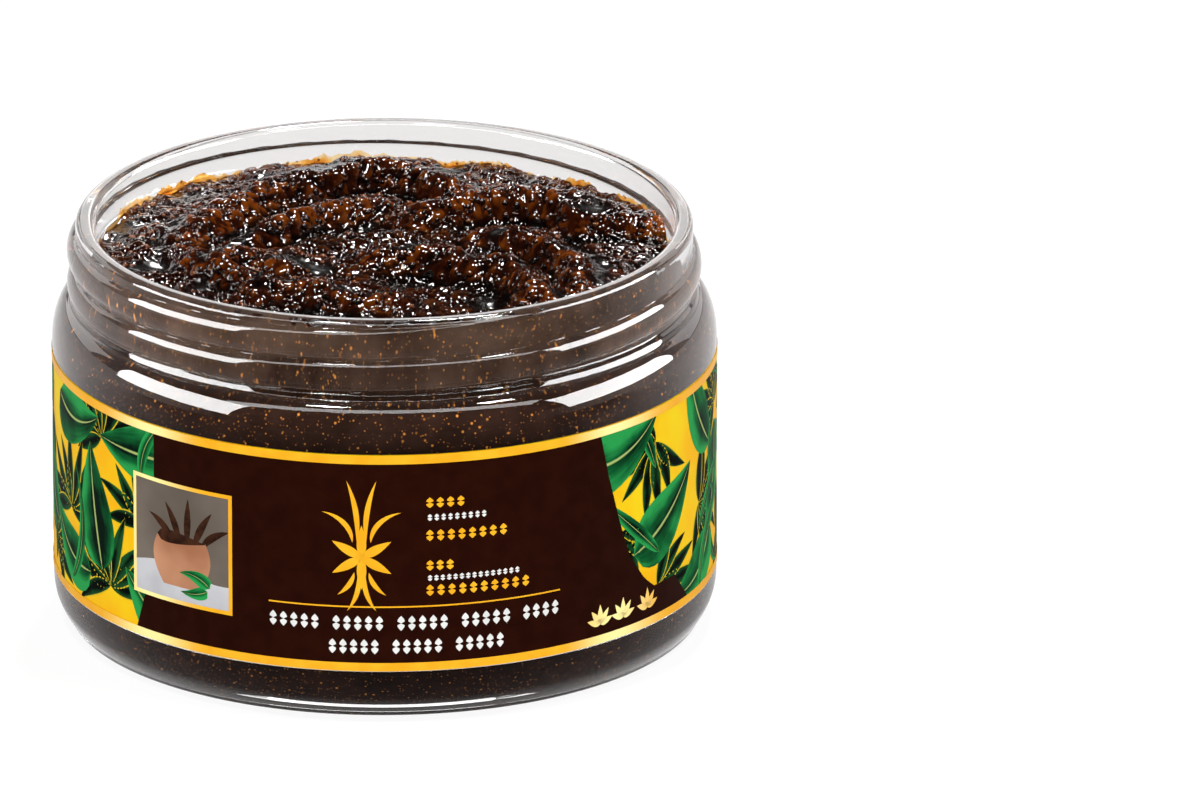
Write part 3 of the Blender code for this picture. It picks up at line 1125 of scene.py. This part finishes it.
def makeBackdrop():  # a low pale wall round the back, which the jar's edges mirror
    s = studio
    wide, high = s["backdropRadius"] / mm, s["backdropHeight"] / mm
    backdrop = lathe([(wide, 0.0), (wide, high)], 96)
    backdrop.name = "backdrop"
    backdrop.data.materials.append(glowFinish("pale backdrop", "Y", -0.9, 0.0, s["backdropGlow"]).material)
    backdrop.visible_camera = False
    backdrop.light_linking.receiver_collection = receivers["jar"]


def makeSurround():  # a dome, white low down, that is only seen through the plastic
    deselectAll()
    bpy.ops.mesh.primitive_uv_sphere_add(segments=64, ring_count=32, radius=studio["surroundRadius"])
    surround = bpy.context.object
    surround.name = "surround"
    glow = glowFinish("white surround", "Z", 0.9, 0.1, studio["surroundGlow"], None, 0.06)
    surround.data.materials.append(glow.material)
    surround.visible_camera = False
    surround.visible_diffuse = False
    surround.visible_glossy = False
    surround.visible_shadow = False


def makeCamera():
    s = studio
    aim = Vector(s["aim"]) * mm
    rise = math.radians(s["rise"])
    deselectAll()
    bpy.ops.object.camera_add(location=aim + s["distance"] * Vector((0, -math.cos(rise), math.sin(rise))))
    camera = bpy.context.object
    aimAt(camera, aim)
    camera.data.sensor_width = 36.0
    camera.data.lens = camera.data.sensor_width * s["pixelsPerMetre"] * s["distance"] / s["pictureWidth"]
    camera.data.clip_end = 50.0
    bpy.context.scene.camera = camera


def makeFloor():
    f = Finish("pale floor")
    grain = f.noise(f.place(), 40.0, 2.0)
    f.set(Base_Color=f.mix(grain, (0.055, 0.055, 0.055), (0.065, 0.065, 0.065)), Roughness=0.7,
          Emission_Color=(1.0, 1.0, 1.0, 1.0), Emission_Strength=studio["floorGlow"])
    floor = disc("floor", 0.0, f)
    floor.visible_glossy = False  # the white ground isn't mirrored in the front of the jar
    glow = glowFinish("mirrored floor", "Y", -0.10, 0.12, 0.8, studio["mirroredFoot"])
    mirrored = disc("mirrored floor", -0.001, glow)
    mirrored.visible_camera = False
    mirrored.visible_diffuse = False
    mirrored.visible_transmission = False


def makeStudio():
    makeCamera()
    makeFloor()
    makeBackdrop()
    makeSurround()
    for name, values in softboxes.items():
        softbox(name, *values)
    world = bpy.data.worlds.new("studio")
    bpy.context.scene.world = world
    world.use_nodes = True
    ambient = world.node_tree.nodes["Background"]
    ambient.inputs["Color"].default_value = (1.0, 1.0, 1.0, 1.0)
    ambient.inputs["Strength"].default_value = 0.02
    bpy.context.scene.view_settings.view_transform = "Standard"


def dress(piece, name, finish, node):  # the piece stands in for its node's part, which is hidden
    settle(piece, name, finish)
    receivers[node].objects.link(piece)
    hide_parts(node)


makeStudio()
print("studio set")

dress(makeJar(), "clearJar", clearPlastic(), "jar")
print("jar made")

pasteTop = makePasteTop()
darkGrains, amberGrains = addGrains(pasteTop)
darkGrain = wetGrains("dark wet grain", (0.005, 0.0008, 0.0003), (0.027, 0.0040, 0.0006))
amberGrain = wetGrains("amber wet grain", (0.028, 0.0048, 0.0006), (0.105, 0.0220, 0.0016))
dress(pasteTop, "pasteTop", wetPaste(), "paste")
dress(makePasteBody(), "pasteBody", pasteAtWall(), "paste")
dress(darkGrains, "darkGrains", darkGrain, "paste")
dress(amberGrains, "amberGrains", amberGrain, "paste")
dress(makeFilm(), "amberFilm", amberFilm(), "paste")
print("paste made")

yellowPrint = printFinish("yellow print", (0.80, 0.38, 0.002), (0.78, 0.55, 0.006), 120.0)
brownPrint = printFinish("brown print", (0.0150, 0.0020, 0.0004), (0.0195, 0.0030, 0.0007))
taupePrint = printFinish("taupe print", (0.105, 0.085, 0.068), (0.17, 0.14, 0.115), 90.0)
clothPrint = printFinish("pale cloth print", (0.40, 0.40, 0.42), (0.50, 0.50, 0.52), 160.0)
bowlPrint = printFinish("bowl print", (0.30, 0.12, 0.06), (0.58, 0.30, 0.17), 90.0)
podPrint = printFinish("pod print", (0.020, 0.007, 0.004), (0.05, 0.018, 0.008), 900.0)
whitePrint = printFinish("white print", (0.62, 0.62, 0.60), (0.70, 0.70, 0.68))

dress(makeGround(), "labelGround", yellowPrint, "label")
broadLeaves, fanLeaves = makeLeaves()
dress(broadLeaves, "broadLeaves", broadLeafPrint(), "label")
dress(fanLeaves, "fanLeaves", fanLeafPrint(), "label")
dress(makeFields(), "brownFields", brownPrint, "label")
picture, cloth, bowl, pods, sprig = makeStillLife()
dress(picture, "pictureGround", taupePrint, "label")
dress(cloth, "pictureCloth", clothPrint, "label")
dress(bowl, "pictureBowl", bowlPrint, "label")
dress(pods, "picturePods", podPrint, "label")
dress(sprig, "pictureLeaves", broadLeafPrint(), "label")
dress(makeBorders(), "goldBorders", goldFoil(), "label")
dress(makeGoldPrint(), "goldPrint", goldFoil(), "label")
dress(makeWhitePrint(), "whitePrint", whitePrint, "label")
print("label made")
